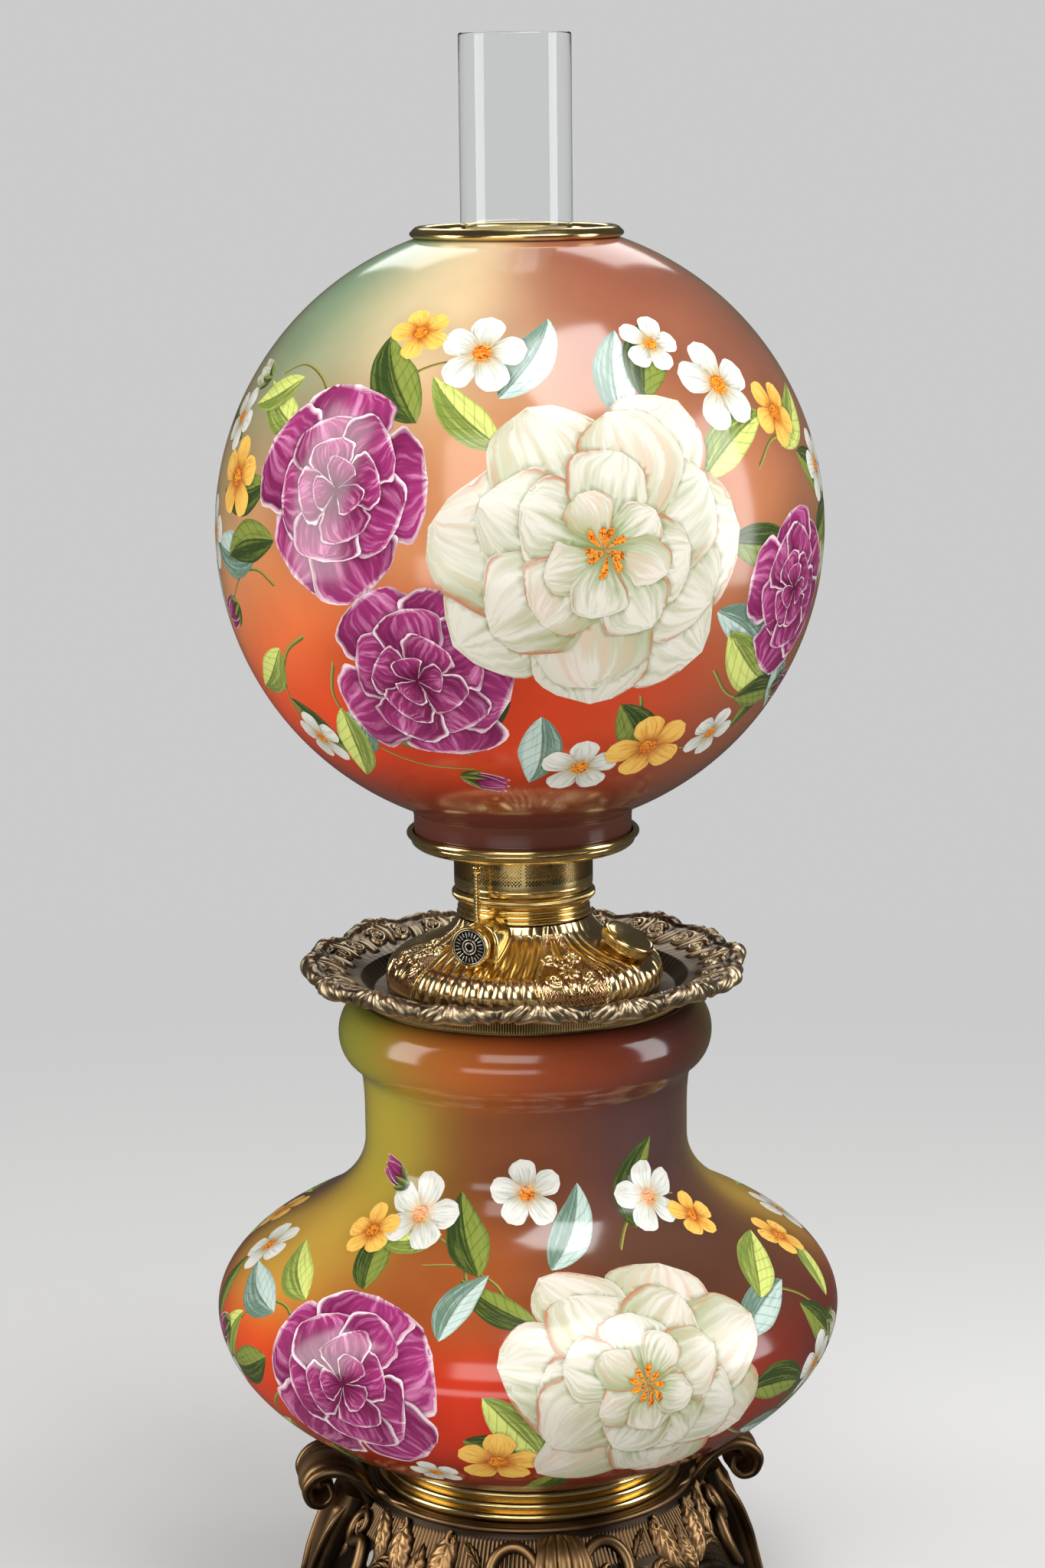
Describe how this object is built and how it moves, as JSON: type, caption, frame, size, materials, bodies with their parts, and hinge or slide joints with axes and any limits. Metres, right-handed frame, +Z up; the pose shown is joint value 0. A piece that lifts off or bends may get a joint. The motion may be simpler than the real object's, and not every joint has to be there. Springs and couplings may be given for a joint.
{
  "type": "parlor lamp",
  "caption": "Tall oil parlor lamp: footed cast base, painted vase with drop-in centre-draft font, ball shade and clear chimney.",
  "frame": {"origin": "on the lamp's axis, at the level of the undersides of the four feet", "axes": "+Z up along the lamp's axis; -Y is the front, which shows the wick knob left of the middle; +X is the lamp's right as seen from the front"},
  "size_m": [0.291, 0.291, 0.752],
  "materials": {
    "cast_brass": "antique cast brass, dark in the hollows and rubbed bright on the high places",
    "crown_bronze": "darkened cast brass with rubbed highlights",
    "polished_brass": "polished spun brass",
    "embossed_brass": "embossed sheet brass, lacquered, with coppery hollows",
    "plain_brass": "plain sheet brass",
    "vase_glaze": "glossy fired decoration: flowers on a ground shaded from green to red and brown",
    "shade_glass": "opal glass with glossy fired decoration: flowers on a shaded ground",
    "clear_glass": "clear and polished",
    "steel": "plain",
    "blackened": "blackened, with rubbed ticks",
    "cork": "plain cork",
    "plaster": "plain plaster",
    "cotton": "woven cotton"
  },
  "bodies": {
    "stand": {"cast_base": "cast_brass", "base_ring": "polished_brass", "foot_washer": "cork", "vase_body": "vase_glaze", "spider_pad": "cork", "clamp_spider": "steel", "clamp_rod": "steel", "lower_washer": "steel", "lower_nut": "steel", "upper_nut": "steel", "mouth_plaster": "plaster", "collar_band": "plain_brass", "crown_casting": "crown_bronze"},
    "font": {"font_dome": "embossed_brass", "font_bowl": "plain_brass", "draft_tube": "plain_brass", "wick_tube": "plain_brass", "burner_collar": "polished_brass", "gear_case": "polished_brass", "shaft_bush": "plain_brass", "filler_neck": "plain_brass"},
    "burner": {"knurled_ring": "polished_brass", "basket": "polished_brass", "burner_deck": "plain_brass", "chimney_prongs": "plain_brass"},
    "shade_holder": {"shade_ring": "polished_brass"},
    "shade": {"shade_globe": "shade_glass", "shade_trim_ring": "polished_brass"},
    "chimney_glass": {"chimney": "clear_glass"},
    "spreader": {"spreader_thimble": "plain_brass", "spreader_disc": "plain_brass"},
    "knob": {"wick_knob": "polished_brass", "knob_face": "blackened", "pinion_shaft": "steel", "drive_pinion": "steel"},
    "rack": {"rack_rod": "polished_brass", "rack_ball": "polished_brass", "carrier_arm": "plain_brass", "wick_carrier": "plain_brass", "wick": "cotton"},
    "gasket": {"filler_gasket": "cork"},
    "cap": {"filler_cap": "polished_brass"}
  },
  "joints": [
    {"name": "font_lift", "type": "slide", "parent": "stand", "child": "font", "axis": [0, 0, 1], "range_m": [0, 0.14]},
    {"name": "burner_lift", "type": "slide", "parent": "font", "child": "burner", "axis": [0, 0, 1], "range_m": [0, 0.05]},
    {"name": "shade_ring_lift", "type": "slide", "parent": "burner", "child": "shade_holder", "axis": [0, 0, 1], "range_m": [0, 0.03]},
    {"name": "shade_lift", "type": "slide", "parent": "shade_holder", "child": "shade", "axis": [0, 0, 1], "range_m": [0, 0.08]},
    {"name": "chimney_lift", "type": "slide", "parent": "burner", "child": "chimney_glass", "axis": [0, 0, 1], "range_m": [0, 0.3]},
    {"name": "spreader_lift", "type": "slide", "parent": "font", "child": "spreader", "axis": [0, 0, 1], "range_m": [0, 0.03]},
    {"name": "knob_turn", "type": "hinge", "parent": "font", "child": "knob", "pos_m": [-0.02361, -0.04633, 0.35], "axis": [-0.454, -0.891, 0], "range_deg": [0, 352]},
    {"name": "wick_raise", "type": "slide", "parent": "font", "child": "rack", "axis": [0, 0, 1], "range_m": [-0.0215, 0]},
    {"name": "cap_rise", "type": "slide", "parent": "font", "child": "gasket", "axis": [0.4353, -0.1759, 0.8829], "range_m": [0, 0.0056]},
    {"name": "cap_turn", "type": "hinge", "parent": "gasket", "child": "cap", "pos_m": [0.04469, -0.01806, 0.34048], "axis": [0.4353, -0.1759, 0.8829], "range_deg": [0, 1255]}
  ],
  "couplings": [
    {"joint": "knob_turn", "follows": "wick_raise", "rad_per_m": -285.71},
    {"joint": "cap_rise", "follows": "cap_turn", "m_per_rad": 0.00025465}
  ]
}
